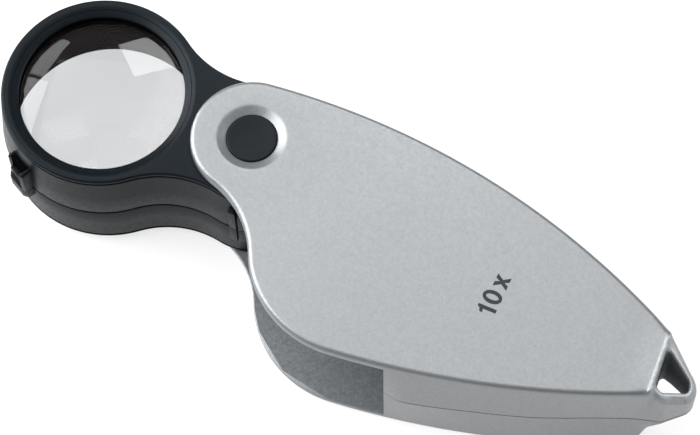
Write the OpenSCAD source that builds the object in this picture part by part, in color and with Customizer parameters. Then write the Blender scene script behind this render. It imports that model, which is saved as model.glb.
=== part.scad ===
// Folding pocket loupe: a two-shell case, and a lens head that swings out of its open side.
// Millimetres, +Z up, bottom of the case at Z = 0, origin under the middle of the open loupe.
// Shapes are drawn in the case frame (pivot at its origin, +X towards the lanyard eye)
// or in the head frame (pivot at its origin, +X towards the lens), and placed at the end.

/* [Lens head] */
// Diameter of each lens
lens_d = 23.6; // [23:0.1:24]
// Distance from the pivot to the lens axis
lens_reach = 22.2; // [22:0.1:22.6]
// Outer radius of the lens ring at its top and bottom edges
ring_r = 13.85; // [13.7:0.05:14]
// Radius of the hub at its top and bottom edges
hub_r = 8.65; // [8.4:0.05:8.8]
// Radius of the hollow curve on each side of the neck
neck_r = 14.1; // [13:0.1:16]
// How far the head's side wall swells out from its upper edge to its seam
head_swell = 0.75; // [0.5:0.05:0.8]
// How much of that swell the lower half keeps down to its face
lower_face_swell = 0.6; // [0:0.05:0.7]

/* [Case] */
// Overall thickness of the case
case_t = 21.2; // [21:0.1:22]
// Thickness of the flat top and bottom plates
plate_t = 1.4; // [1.2:0.1:1.5]
// Gap between the head and each plate
head_gap = 0.3; // [0.2:0.05:0.4]
// Thickness of the side walls
wall_t = 1.6; // [1.4:0.1:1.8]
// Radius of the rounded rims
rim_r = 0.7; // [0.4:0.1:1]
// How far the side walls swell out from the rims to the seam
case_swell = 0.7; // [0.5:0.05:0.8]
// Radius of the case's round end
end_r = 8.4; // [8.3:0.05:8.5]
// Radius of the rounded belly beside the folded lens
belly_r = 15.5; // [15.4:0.1:15.6]
// Radius of the hollow curve between the round end and the belly
waist_r = 13.5; // [13:0.1:14]
// Radius of the long curve from the belly to the lanyard eye
near_r = 128; // [124:1:132]
// Radius of the long curve on the closed side
far_r = 107.5; // [106:0.5:109]

/* [Swing] */
// Direction of the open head, from the case's long axis
open_angle = 190.2; // [189:0.1:191]
// Swing from open to folded
fold_angle = 153.7; // [153:0.1:154]
// Preview the head at this swing
swing = 0; // [0:1:153]

/* [Hidden] */
$fn = 96;
eps = 0.5;              // how far a cutter runs past the face that it opens

// ---- colours ----
silver = [0.76, 0.78, 0.79];
black = [0.16, 0.17, 0.19];
steel = [0.62, 0.63, 0.65];
bronze = [0.66, 0.49, 0.28];
glass = [0.82, 0.88, 0.90, 0.45];

// ---- heights ----
seam_z = case_t / 2;                    // both seams, and the plane of symmetry
plate_z = seam_z - plate_t;             // underside of a plate, from the seam
head_h = plate_z - head_gap;            // half the head's thickness

// ---- case outline: centres and tangent angles ----
folded_angle = open_angle + fold_angle - 360;
belly_c = lens_reach * [cos(folded_angle), sin(folded_angle)];
// Centre of a circle that touches two others from outside, on the clockwise side of the line
function touching_centre(r1, r2, d, r, dir) =
    let (a = r1 + r, b = r2 + r, x = (a * a - b * b + d * d) / (2 * d), y = sqrt(a * a - x * x))
    [x * cos(dir) + y * sin(dir), x * sin(dir) - y * cos(dir)];
waist_c = touching_centre(end_r, belly_r, lens_reach, waist_r, folded_angle);
near_dir = 102.9;                       // from the belly's centre to the long curve's centre
near_c = belly_c + (near_r - belly_r) * [cos(near_dir), sin(near_dir)];
far_cx = 24;
far_c = [far_cx, -sqrt(pow(far_r - end_r, 2) - far_cx * far_cx)];
function direction(from, to) = atan2(to[1] - from[1], to[0] - from[0]);
far_tangent = direction(far_c, [0, 0]);
waist_to_end = direction(waist_c, [0, 0]);
waist_to_belly = direction(waist_c, belly_c);

// ---- lanyard end ----
ridge_far_x = 62.3;                     // where the plate ends on the closed side
ridge_near_x = 64.0;                    // and on the open side
eye_c = [[66.5, -0.1], [65.3, -2.2]];   // centres of the two rounds of the eye
eye_r = 2.3;
eye_wall = 1.15;
nose_drop = 6.0;                        // fall of the eye's top from the ridge to its nose
nose_x = eye_c[0][0] + eye_r;

function on_near(x, off) = near_c + (near_r + off) * [cos(a_near(x)), sin(a_near(x))];
function a_near(x) = -acos((x - near_c[0]) / near_r);
function on_far(x, off) = far_c + (far_r + off) * [cos(a_far(x)), sin(a_far(x))];
function a_far(x) = acos((x - far_c[0]) / far_r);
// Points round an arc, without its last one, which the next arc starts with
function arc(c, r, a0, a1, n) = [for (i = [0 : n - 1]) c + r * [cos(a0 + (a1 - a0) * i / n),
                                                              sin(a0 + (a1 - a0) * i / n)]];

// Case outline, offset outwards by off, with its square end drawn back by trim
function case_outline(off, trim = 0) = concat(
    arc([0, 0], end_r + off, far_tangent, waist_to_end + 180, 22),
    arc(waist_c, waist_r - off, waist_to_end, waist_to_belly, 10),
    arc(belly_c, belly_r + off, waist_to_belly + 180, near_dir + 180, 14),
    arc(near_c, near_r + off, near_dir - 180, a_near(ridge_near_x - trim), 14),
    [on_near(ridge_near_x - trim, off)],
    arc(far_c, far_r + off, a_far(ridge_far_x - trim), far_tangent, 20));

// ---- head outline ----
neck_c = touching_centre(hub_r, ring_r, lens_reach, neck_r, 0);
neck_to_hub = direction(neck_c, [0, 0]);
neck_to_ring = direction(neck_c, [lens_reach, 0]);
function head_outline(off) = concat(
    arc([lens_reach, 0], ring_r + off, 0, 180 - neck_to_ring, 24),
    arc([neck_c[0], -neck_c[1]], neck_r - off, -neck_to_ring, -neck_to_hub, 10),
    arc([0, 0], hub_r + off, 180 - neck_to_hub, 180 + neck_to_hub, 28),
    arc(neck_c, neck_r - off, neck_to_hub, neck_to_ring, 10),
    arc([lens_reach, 0], ring_r + off, neck_to_ring - 180, 0, 24));

// ---- pivot: radii, and heights from the seam ----
sleeve_r = 3.0;
screw_r = 1.25;
screw_clear = 0.1;
cap_r = 3.5;
cap_pocket_r = 3.55;
recess_r = 4.6;                         // mouth of the cone round each pivot cap
recess_h = 0.55;                        // depth of that cone
cap_sink = 0.45;                        // cap face below the plate
boss_r = 5.0;
boss_h = 6.4;                           // seam to the end of a shell's pivot boss
boss_floor = 1.0;
washer_t = 0.3;
washer_r = 4.8;
hub_floor = boss_h - washer_t;          // seam to the hub's upper or lower shoulder
hub_well_r = 5.3;
bush_r = 4.2;
bush_flange_r = 4.8;
bush_flange_t = 0.6;
bush_bore_r = sleeve_r + 0.05;
nut_r = 2.6;
nut_t = 1.4;
key_w = 2.0;                            // stop key on the upper boss, and its arc groove
key_r = 6.2;
groove_r = 6.5;
key_angle = 60;                         // key direction in the case frame
key_half = asin(key_w / 2 / key_r);
key_slack = 1.5;                        // degrees left at each end of the groove

// ---- lens stack: heights from the seam ----
lens_r = lens_d / 2;
lens_seat_r = lens_r + 0.1;
aperture_r = lens_r - 0.4;
outer_curve_r = 60;                     // lens face that looks out
inner_curve_r = 100;                    // lens face that looks in
lens_edge_t = 1.8;
lens_ring_r = 12.35;
lens_ring_seat_r = 12.4;
lens_ring_h = 7.05;                     // seam to the underside of the lens ring
lens_rim_h = lens_ring_h - 0.12;        // the curved face touches the ring inside its rim
spacer_h = lens_rim_h - lens_edge_t - 0.2;
bezel_r = 12.9;                         // mouth of the cone round the lens
bezel_h = 0.7;                          // depth of that cone
outer_sag = outer_curve_r - sqrt(outer_curve_r * outer_curve_r - lens_r * lens_r);
inner_sag = inner_curve_r - sqrt(inner_curve_r * inner_curve_r - lens_r * lens_r);

// ---- slot, screws and lugs ----
slot_r = lens_reach + ring_r + 1.4;     // inner edge of the open side's remaining wall
far_wall_x = 6.5;                       // start of the closed side's wall
case_screw_at = [[42.5, 4.2], [45, -9.5], [56.5, -0.4]];
case_boss_r = 2.6;
case_screw_r = 1.0;
case_screw_head_r = 1.9;
case_screw_head_t = 1.3;
head_screw_at = [[7.0, 4.4], [7.0, -4.4]];
head_screw_r = 0.8;
head_screw_head_r = 1.5;
head_screw_head_t = 1.0;
socket_w = 0.6;                         // cross slot in each screw's head
socket_l = 0.6;                         // its reach, as a share of the head's radius
socket_h = 0.6;

// ================= helpers =================

// Solid skinned through outlines that all have the same number of points, each at its height,
// and cut flat at 0 and at h
module skin(outlines, heights, h) {
    n = len(outlines[0]);
    m = len(heights);
    points = [for (k = [0 : m - 1], p = outlines[k]) [p[0], p[1], heights[k]]];
    sides = [for (k = [0 : m - 2], i = [0 : n - 1]) let (j = (i + 1) % n)
        [k * n + i, (k + 1) * n + i, (k + 1) * n + j, k * n + j]];
    intersection() {
        polyhedron(points, concat([[for (i = [0 : n - 1]) i]], sides,
                                  [[for (i = [n - 1 : -1 : 0]) (m - 1) * n + i]]), convexity = 6);
        translate([-100, -100, 0]) cube([200, 200, h]);
    }
}

module disc(r, z0, z1, at = [0, 0]) {
    translate([at[0], at[1], z0]) cylinder(h = z1 - z0, r = r);
}

module tube(r_out, r_in, z0, z1) {
    difference() {
        disc(r_out, z0, z1);
        disc(r_in, z0 - eps, z1 + eps);
    }
}

// From a half drawn up from the seam to its place in the loupe
module upper() { translate([0, 0, seam_z]) children(); }
module lower() { translate([0, 0, seam_z]) mirror([0, 0, 1]) children(); }

// From the case frame to the loupe's frame, whose origin is under the middle of its box
x_low = -lens_reach * cos(open_angle - 180) - ring_r - head_swell;
y_low = belly_c[1] - belly_r;
y_high = far_c[1] + far_r + case_swell;
module in_case() { translate([-(x_low + nose_x) / 2, -(y_low + y_high) / 2, 0]) children(); }
module in_head() { in_case() rotate([0, 0, open_angle + swing]) children(); }

// ================= case =================

// One half of the case without its bosses, from the seam at 0 up to the plate
module case_half() {
    rim_steps = 4;
    rim = [for (i = [0 : rim_steps]) i * 84 / rim_steps];
    wall_h = seam_z - rim_r;
    slope = case_swell / wall_h;
    difference() {
        skin(concat([case_outline(case_swell + slope)],
                    [for (a = rim) case_outline(rim_r * (cos(a) - 1))], [case_outline(-rim_r - 0.05)]),
             concat([-1], [for (a = rim) wall_h + rim_r * sin(a)], [seam_z + 0.02]), seam_z);
        translate([0, 0, -eps]) linear_extrude(plate_z + eps) polygon(case_outline(-wall_t, 1.4));
        // the open side, out to just past the swing of the lens ring
        intersection() {
            translate([0, 0, -eps])
                cylinder(h = plate_z + eps, r1 = slot_r + case_swell * (1 + eps / plate_z), r2 = slot_r, $fn = 180);
            translate([-20, -40, -2 * eps]) cube([70, 40, plate_z + 4 * eps]);
        }
        // the round end, and the bevel where the open side's wall starts
        translate([-20, -20, -eps]) cube([20 + far_wall_x, 40, plate_z + eps]);
        translate([0, 0, -eps]) linear_extrude(plate_z + eps) polygon([
            on_near(slot_end_x - 3, 0.02), on_near(slot_end_x - 3, 4),
            on_near(slot_end_x + bevel_l, 4), on_near(slot_end_x + bevel_l, case_swell)]);
    }
}
slot_end_x = 32.2;
bevel_l = 2.1;

module eye_outline(r) {
    ridge_far = on_far(ridge_far_x, 0);
    ridge_near = on_near(ridge_near_x, 0);
    polygon(concat([ridge_far], arc(eye_c[0], r, 78, -30, 10), arc(eye_c[1], r, -30, -105, 8),
                   [ridge_near, ridge_near + [-2, 1], ridge_far + [-2, -1]]));
}

module eye_hole() {
    inner_r = eye_r - eye_wall;
    polygon(concat(arc([63.9, 1.35], 0.5, 170, 80, 5), arc(eye_c[0], inner_r, 78, -30, 8),
                   arc(eye_c[1], inner_r, -30, -95, 6), arc([64.85, -2.95], 0.45, -100, -170, 4)));
}

// Rounded eye beyond the ridge, cut to a side profile given as [x, height] points
module eye_block(profile) {
    intersection() {
        linear_extrude(seam_z) eye_outline(eye_r);
        rotate([90, 0, 0]) translate([0, 0, -10]) linear_extrude(20) polygon(profile);
    }
}

module pivot_boss() {
    disc(boss_r, boss_h, plate_z + 0.2);
}

module pivot_pocket() {
    translate([0, 0, seam_z - recess_h])
        cylinder(h = recess_h + 0.01, r1 = cap_pocket_r, r2 = recess_r);
    disc(cap_pocket_r, boss_h + boss_floor, seam_z - recess_h + 0.1);
    disc(screw_r + screw_clear, boss_h - eps, boss_h + boss_floor + eps);
}

module upper_shell() {
    color(silver) in_case() upper() difference() {
        union() {
            case_half();
            eye_block([[ridge_far_x - 2, 0], [nose_x + 1, 0], [nose_x + 1, seam_z - nose_drop - 1],
                       [nose_x, seam_z - nose_drop], [ridge_near_x - 0.6, seam_z], [ridge_far_x - 2, seam_z]]);
            pivot_boss();
            for (p = case_screw_at) disc(case_boss_r, 0, plate_z + 0.2, p);
            rotate([0, 0, key_angle]) translate([boss_r - 0.5, -key_w / 2, boss_h])
                cube([key_r - boss_r + 0.5, key_w, plate_z + 0.2 - boss_h]);
        }
        pivot_pocket();
        for (p = case_screw_at) disc(case_screw_r + 0.05, -eps, 6, p);
        translate([0, 0, -eps]) linear_extrude(seam_z + 2 * eps) eye_hole();
    }
}

module lower_shell() {
    color(silver) in_case() lower() difference() {
        union() {
            case_half();
            eye_block([[ridge_far_x - 2, 0], [nose_x + 1, 0], [nose_x, 0.4], [64.4, 1.0],
                       [63.0, 3.0], [61.6, seam_z], [ridge_far_x - 2, seam_z]]);
            pivot_boss();
            for (p = case_screw_at) disc(case_boss_r, 0, plate_z + 0.2, p);
        }
        pivot_pocket();
        for (p = case_screw_at) {
            disc(case_screw_r + 0.1, -eps, seam_z, p);
            disc(case_screw_head_r + 0.1, seam_z - case_screw_head_t - 0.3, seam_z + eps, p);
        }
        translate([0, 0, -eps]) linear_extrude(seam_z + 2 * eps) eye_hole();
    }
}

// Pan-head screw drawn head outwards, from its tip at z0 to the head's face at z1
module screw(r, head_r, head_t, z0, z1) {
    difference() {
        union() {
            disc(r, z0, z1 - head_t + 0.05);
            disc(head_r, z1 - head_t, z1);
        }
        for (a = [0, 90]) translate([0, 0, z1 - socket_h]) rotate([0, 0, a])
            translate([-socket_l * head_r, -socket_w / 2, 0]) cube([2 * socket_l * head_r, socket_w, socket_h + eps]);
    }
}

module case_screws() {
    color(steel) in_case() lower() for (p = case_screw_at) translate([p[0], p[1], 0])
        screw(case_screw_r, case_screw_head_r, case_screw_head_t, -5.5, seam_z - 0.3);
}

// ================= pivot =================

module pivot_sleeve() {
    color(steel) in_case() translate([0, 0, seam_z])
        tube(sleeve_r, screw_r + screw_clear, -boss_h, boss_h);
}

module pivot_screw() {
    color(steel) in_case() lower()
        screw(screw_r, nut_r, nut_t, -(boss_h + boss_floor + nut_t), boss_h + boss_floor + nut_t);
}

module pivot_nut() {
    color(steel) in_case() upper() difference() {
        translate([0, 0, boss_h + boss_floor]) cylinder(h = nut_t, r = nut_r, $fn = 6);
        disc(screw_r + 0.02, boss_h + boss_floor - eps, boss_h + boss_floor + nut_t + eps);
    }
}

// Round plug with a dished face and a hollow stem that clears the screw's head or the nut
module pivot_cap() {
    cap_z0 = boss_h + boss_floor + nut_t + 0.1;
    cap_z1 = seam_z - cap_sink;
    dish_r = 24;
    difference() {
        union() {
            disc(cap_r, cap_z0, cap_z1);
            tube(cap_r, nut_r + 0.15, boss_h + boss_floor + 0.2, cap_z0 + 0.1);
        }
        translate([0, 0, cap_z1 + dish_r - 0.2]) sphere(r = dish_r, $fn = 180);
    }
}
module upper_pivot_cap() { color(black) in_case() upper() pivot_cap(); }
module lower_pivot_cap() { color(black) in_case() lower() pivot_cap(); }

module friction_washer(t) { tube(washer_r, sleeve_r + 0.1, hub_floor, hub_floor + t); }
module upper_friction_washer() { color(black) in_case() upper() friction_washer(washer_t - spring_t); }
module lower_friction_washer() { color(black) in_case() lower() friction_washer(washer_t); }
spring_t = 0.12;
module spring_washer() {
    color(steel) in_case() upper() tube(washer_r - 0.3, sleeve_r + 0.1, boss_h - spring_t, boss_h);
}

// ================= lens head =================

// Height of the cone round the lens, at radius r
function bezel_z(r) = head_h - bezel_h * (bezel_r - r) / (bezel_r - aperture_r);
// Cone round the lens, which both the shell and the lens ring are cut to
module bezel_cone() {
    run = (bezel_r - aperture_r) / bezel_h;
    translate([lens_reach, 0, head_h - bezel_h])
        cylinder(h = bezel_h + eps, r1 = aperture_r, r2 = bezel_r + run * eps);
}

// One half of the head's housing, from the seam at 0 out to its flat face,
// whose outline stands out by face_swell
module head_half(catch_h, nub_h, face_swell) {
    edge_r = 0.35;
    wall_h = head_h - edge_r;
    slope = (head_swell - face_swell) / wall_h;
    difference() {
        union() {
            skin([head_outline(head_swell + slope), head_outline(face_swell),
                  head_outline(face_swell - edge_r * 0.3), head_outline(face_swell - edge_r * 1.1)],
                 [-1, wall_h, head_h - edge_r * 0.3, head_h + edge_r * 0.1], head_h);
            head_lugs(catch_h, nub_h);
        }
        // lens seat, ring seat and bezel cone
        disc(lens_seat_r, -eps, lens_ring_h, [lens_reach, 0]);
        disc(lens_ring_seat_r, lens_ring_h - 0.01, bezel_z(lens_ring_seat_r), [lens_reach, 0]);
        bezel_cone();
        // hub: bore for the bushes, their flange seats and the well round the shell's boss
        disc(bush_r + 0.02, -eps, hub_floor, [0, 0]);
        disc(bush_flange_r + 0.1, hub_floor - bush_flange_t, hub_floor + eps, [0, 0]);
        disc(hub_well_r, hub_floor, head_h + eps, [0, 0]);
    }
}

// Catch on the ring's leading side and thumb nub on the hub, each split by the seam
module head_lugs(catch_h, nub_h) {
    catch_angle = 59.5;
    nub_angle = 97;
    translate([lens_reach, 0, 0]) rotate([0, 0, catch_angle]) linear_extrude(catch_h)
        polygon([[ring_r - 1.2, -2.1], [ring_r + 1.5, -1.9], [ring_r + 2.0, -1.3],
                 [ring_r + 2.0, 1.2], [ring_r + 1.5, 1.7], [ring_r - 1.2, 2.0]]);
    rotate([0, 0, nub_angle]) linear_extrude(nub_h)
        polygon([[hub_r - 1, -1.5], [hub_r + 0.7, -1.4], [hub_r + 1.1, -1.1],
                 [hub_r + 1.1, 1.2], [hub_r - 1, 1.5]]);
}

module head_upper_shell() {
    key_from = key_angle - open_angle;
    color(black) in_head() upper() difference() {
        head_half(5.6, 5.6, 0);
        // arc groove that the case's stop key runs in
        rotate([0, 0, key_from - fold_angle - key_half - key_slack])
            rotate_extrude(angle = fold_angle + 2 * (key_half + key_slack))
                translate([hub_well_r - 1, hub_floor]) square([groove_r - hub_well_r + 1, head_h - hub_floor + eps]);
        for (p = head_screw_at) disc(head_screw_r + 0.03, -eps, 5, p);
    }
}

module head_lower_shell() {
    color(black) in_head() lower() difference() {
        head_half(3.4, 4.4, lower_face_swell);
        for (p = head_screw_at) {
            disc(head_screw_r + 0.1, -eps, head_h, p);
            disc(head_screw_head_r + 0.1, head_h - head_screw_head_t - 0.5, head_h + eps, p);
        }
    }
}

module head_screws() {
    color(steel) in_head() lower() for (p = head_screw_at) translate([p[0], p[1], 0])
        screw(head_screw_r, head_screw_head_r, head_screw_head_t, -4.5, head_h - 0.5);
}

// Biconvex lens, drawn with the face that looks out upwards, and that face's rim at z
module lens(z) {
    translate([lens_reach, 0, 0]) intersection() {
        disc(lens_r, z - lens_edge_t - inner_sag - 1, z + outer_sag + 1);
        translate([0, 0, z + outer_sag - outer_curve_r]) sphere(r = outer_curve_r, $fn = 180);
        translate([0, 0, z - lens_edge_t - inner_sag + inner_curve_r]) sphere(r = inner_curve_r, $fn = 180);
    }
}
module upper_lens() { color(glass) in_head() upper() lens(lens_rim_h); }
module lower_lens() { color(glass) in_head() lower() lens(lens_rim_h); }

module lens_spacer() {
    color(black) in_head() translate([lens_reach, 0, seam_z]) tube(lens_r, lens_r - 0.5, -spacer_h, spacer_h);
}

module lens_ring() {
    difference() {
        disc(lens_ring_r, lens_ring_h, head_h - bezel_h / 3, [lens_reach, 0]);
        disc(aperture_r, lens_ring_h - eps, head_h, [lens_reach, 0]);
        bezel_cone();
    }
}
module upper_lens_ring() { color(black) in_head() upper() lens_ring(); }
module lower_lens_ring() { color(black) in_head() lower() lens_ring(); }

module hub_bush() {
    difference() {
        union() {
            disc(bush_r, 0.1, hub_floor);
            disc(bush_flange_r, hub_floor - bush_flange_t, hub_floor);
        }
        disc(bush_bore_r, -eps, hub_floor + eps);
    }
}
module upper_hub_bush() { color(bronze) in_head() upper() hub_bush(); }
module lower_hub_bush() { color(bronze) in_head() lower() hub_bush(); }

upper_shell();
lower_shell();
pivot_sleeve();
pivot_screw();
pivot_nut();
upper_pivot_cap();
lower_pivot_cap();
upper_friction_washer();
lower_friction_washer();
spring_washer();
case_screws();
head_upper_shell();
head_lower_shell();
upper_lens();
lower_lens();
lens_spacer();
upper_lens_ring();
lower_lens_ring();
upper_hub_bush();
lower_hub_bush();
head_screws();
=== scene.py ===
"""Looks of the folding pocket loupe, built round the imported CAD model. Shapes are worked out in
millimetres from the pivot, with heights from the seam, and made in metres in the model's frame."""
import math

import bmesh
import bpy
import numpy as np
from mathutils import Matrix, Vector
from mathutils.geometry import delaunay_2d_cdt


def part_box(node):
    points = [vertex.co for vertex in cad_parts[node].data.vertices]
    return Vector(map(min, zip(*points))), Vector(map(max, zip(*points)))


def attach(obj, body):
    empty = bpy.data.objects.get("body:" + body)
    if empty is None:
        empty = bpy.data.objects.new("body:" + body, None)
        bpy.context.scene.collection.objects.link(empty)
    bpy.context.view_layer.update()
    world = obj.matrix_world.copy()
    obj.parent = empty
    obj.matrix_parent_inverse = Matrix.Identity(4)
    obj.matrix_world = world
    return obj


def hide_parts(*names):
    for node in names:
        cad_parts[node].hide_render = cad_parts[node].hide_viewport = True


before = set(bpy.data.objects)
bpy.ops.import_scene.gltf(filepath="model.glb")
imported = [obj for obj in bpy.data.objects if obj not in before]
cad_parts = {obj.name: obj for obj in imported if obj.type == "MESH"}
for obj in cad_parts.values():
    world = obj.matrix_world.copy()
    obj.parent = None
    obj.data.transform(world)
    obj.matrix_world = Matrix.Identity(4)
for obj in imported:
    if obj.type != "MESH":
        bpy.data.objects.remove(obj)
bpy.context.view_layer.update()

MM = 0.001


def middle(node):
    low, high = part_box(node)
    return (low + high) / 2


pivot = middle("pivot_sleeve")
lens_axis = middle("upper_lens")
head_angle = math.atan2(lens_axis.y - pivot.y, lens_axis.x - pivot.x)
SEAM_Z = pivot.z
CASE_H = (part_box("upper_shell")[1].z - SEAM_Z) / MM          # seam to a plate's outer face
HEAD_H = (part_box("head_upper_shell")[1].z - SEAM_Z) / MM     # seam to the head's flat face
REACH = Vector((lens_axis.x - pivot.x, lens_axis.y - pivot.y)).length / MM
NOSE_X = (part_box("upper_shell")[1].x - pivot.x) / MM

# ---------------------------------------------------------------- sizes, in millimetres
SAME_POINT = 1e-4                                            # points nearer than this are one
# the case's outline: radii of its arcs, and where they meet
END_R, BELLY_R, WAIST_R, NEAR_R, FAR_R = 8.4, 15.5, 13.5, 128.0, 107.5
FOLDED = math.radians(-16.1)                                 # direction of the folded ring
NEAR_DIR = math.radians(102.9)                               # where the belly meets the open side
FAR_CX = 24.0
RIDGE_FAR_X, RIDGE_NEAR_X = 62.3, 64.0
SLOPE_FROM_X = 57.5                                          # finer points from here to the nose
EYE_R, EYE_WALL = 2.3, 1.15
EYE_A, EYE_B = np.array([66.6, -0.1]), np.array([64.8, -2.2])
EYE_MEET, EYE_END = math.radians(-41), math.radians(78)
# the case's rims, walls and plates
CASE_SWELL, EYE_SWELL = 0.7, 0.0
LEAN_X, LEAN_OFF = [36.0, 44.0, 51.0, 58.0, 64.0], [CASE_SWELL, 0.26, 0.1, -0.35, -0.4]
RIM_R, EYE_RIM_R = 0.7, 0.95
PLATE_T, WALL_T = 1.4, 1.6
PLATE_Z = CASE_H - PLATE_T
SLOT_R, FAR_WALL_X = 37.5, 6.5                               # where the hollow ends on both sides
SLOT_END_X, BEVEL_L = 32.2, 2.1                              # the open side's wall and its bevel
# the pivot's pocket, dish and boss, and the three screws
CAP_POCKET_R, DISH_R, DISH_H = 3.55, 4.6, 0.55
BOSS_R, BOSS_H, POCKET_FLOOR_H, BOSS_BORE_R = 5.0, 6.4, 7.4, 1.35
SCREWS = [(42.5, 4.2), (45.0, -9.5), (56.5, -0.4)]
SCREW_BOSS_R, SCREW_HEAD_R, SCREW_HEAD_FLOOR_H, SCREW_HOLE_R = 2.6, 2.0, 9.0, 1.1
SCREW_THREAD_R, SCREW_THREAD_H = 1.05, 6.0
# the head's outline
RING_R, HUB_R, NECK_R = 13.85, 8.65, 14.1
HEAD_SWELL = 0.75


def unit(a):
    """The unit vector in direction a."""
    return np.array([math.cos(a), math.sin(a)])


def touching_centre(r1, r2, d, r, a):
    """Centre of a circle of radius r that touches from outside a circle of radius r1 round the
    pivot and one of radius r2 at distance d in direction a."""
    p, q = r1 + r, r2 + r
    x = (p * p - q * q + d * d) / (2 * d)
    y = math.sqrt(p * p - x * x)
    return np.array([x * math.cos(a) + y * math.sin(a), x * math.sin(a) - y * math.cos(a)])


def heading(p, q):
    """The direction from p to q."""
    return math.atan2(q[1] - p[1], q[0] - p[0])


class Outline:
    """Points in order round a shape, each with its outward normal."""

    def __init__(self):
        self.p, self.n = [], []

    def arc(self, c, r, a0, a1, count, inward=False):
        for i in range(count + 1):
            u = unit(a0 + (a1 - a0) * i / count)
            self.p.append(np.asarray(c) + r * u)
            self.n.append(-u if inward else u)

    def done(self):
        """The points and normals, with a point shared by two stretches kept once."""
        p, n = [], []
        for point, normal in zip(self.p, self.n):
            if p and np.hypot(*(point - p[-1])) < SAME_POINT:
                both = n[-1] + normal
                n[-1] = both / np.hypot(*both)
                continue
            p.append(point)
            n.append(normal)
        if np.hypot(*(p[0] - p[-1])) < SAME_POINT:
            p.pop(), n.pop()
        return np.array(p), np.array(n)


# ---------------------------------------------------------------- outline of the case
belly_c = REACH * unit(FOLDED)
waist_c = touching_centre(END_R, BELLY_R, REACH, WAIST_R, FOLDED)
near_c = belly_c + (NEAR_R - BELLY_R) * unit(NEAR_DIR)
far_c = np.array([FAR_CX, -math.sqrt((FAR_R - END_R) ** 2 - FAR_CX ** 2)])
far_tangent = heading(far_c, (0, 0))


def near_at(x):
    """The angle on the open side's arc at x."""
    return -math.acos((x - near_c[0]) / NEAR_R)


def far_at(x):
    """The angle on the closed side's arc at x."""
    return math.acos((x - far_c[0]) / FAR_R)


def case_outline():
    o = Outline()
    whole = 2 * math.pi
    end_in = (heading(waist_c, (0, 0)) + whole) % whole
    to_belly = (heading(waist_c, belly_c) + whole) % whole
    o.arc((0, 0), END_R, far_tangent, end_in + math.pi, 48)
    o.arc(waist_c, WAIST_R, end_in, to_belly, 20, inward=True)
    o.arc(belly_c, BELLY_R, to_belly - math.pi, NEAR_DIR - math.pi, 36)
    # the open side, in stretches that end at the slot, its bevel, the slope and the ridge
    stretches = [NEAR_DIR - math.pi] + [near_at(x) for x in (
        SLOT_END_X, SLOT_END_X + BEVEL_L, SLOPE_FROM_X + 1.5, RIDGE_NEAR_X)]
    for a0, a1, count in zip(stretches, stretches[1:], (8, 5, 30, 14)):
        o.arc(near_c, NEAR_R, a0, a1, count)
    o.arc(EYE_B, EYE_R, math.radians(-95), EYE_MEET, 14)
    o.arc(EYE_A, EYE_R, EYE_MEET, EYE_END, 24)
    start = EYE_A + EYE_R * unit(EYE_END)
    end = far_c + FAR_R * unit(far_at(RIDGE_FAR_X))
    across = np.array([-(end - start)[1], (end - start)[0]])
    across = -across / np.hypot(*across)
    steps = 13
    for i in range(1, steps):
        o.p.append(start + (end - start) * i / steps)
        o.n.append(across)
    # the closed side
    o.arc(far_c, FAR_R, far_at(RIDGE_FAR_X), far_at(SLOPE_FROM_X), 14)
    o.arc(far_c, FAR_R, far_at(SLOPE_FROM_X), far_at(FAR_WALL_X), 50)
    o.arc(far_c, FAR_R, far_at(FAR_WALL_X), far_tangent, 10)
    return o.done()


CASE_P, CASE_N = case_outline()
ridge_far = far_c + FAR_R * unit(far_at(RIDGE_FAR_X))
ridge_near = near_c + NEAR_R * unit(near_at(RIDGE_NEAR_X))
ridge_dir = (ridge_near - ridge_far) / np.hypot(*(ridge_near - ridge_far))
ridge_nrm = np.array([-ridge_dir[1], ridge_dir[0]])


def past_ridge(p):
    """Distance past the ridge, towards the nose."""
    return (np.asarray(p) - ridge_far) @ ridge_nrm


def smooth(a, b, x):
    """0 up to a, 1 from b on, and a smooth passage between."""
    t = np.clip((x - a) / (b - a), 0, 1)
    return t * t * (3 - 2 * t)


def distance(p, poly):
    """Distance of points p from a closed polyline."""
    a, b = poly, np.roll(poly, -1, 0)
    best = np.full(len(p), 1e9)
    for i in range(len(a)):
        d = b[i] - a[i]
        t = np.clip(((p - a[i]) @ d) / (d @ d), 0, 1)
        q = a[i] + t[:, None] * d
        best = np.minimum(best, np.hypot(*(p - q).T))
    return best


def inside(p, poly):
    """Which of the points p lie inside a closed polyline."""
    x, y = p[:, 0], p[:, 1]
    hit = np.zeros(len(p), bool)
    a, b = poly, np.roll(poly, -1, 0)
    for (x0, y0), (x1, y1) in zip(a, b):
        if y0 == y1:
            continue
        cross = ((y0 > y) != (y1 > y)) & (x < (x1 - x0) * (y - y0) / (y1 - y0) + x0)
        hit ^= cross
    return hit


def circle(c, r, n):
    """n points round c."""
    a = np.arange(n) * 2 * math.pi / n
    return np.asarray(c) + r * np.c_[np.cos(a), np.sin(a)]


def fillet_drop(d, r):
    """How far a surface lies below its flat part, at distance d from an edge with fillet radius r."""
    x = np.clip(1 - d / r, 0, 1)
    return r * (1 - np.sqrt(np.clip(1 - x * x, 0, 1)))


# where the rows of a fillet lie, from its edge to its flat
FILLET = [math.radians(a) for a in (9, 18, 28, 39, 51, 64, 78, 90)]


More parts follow.
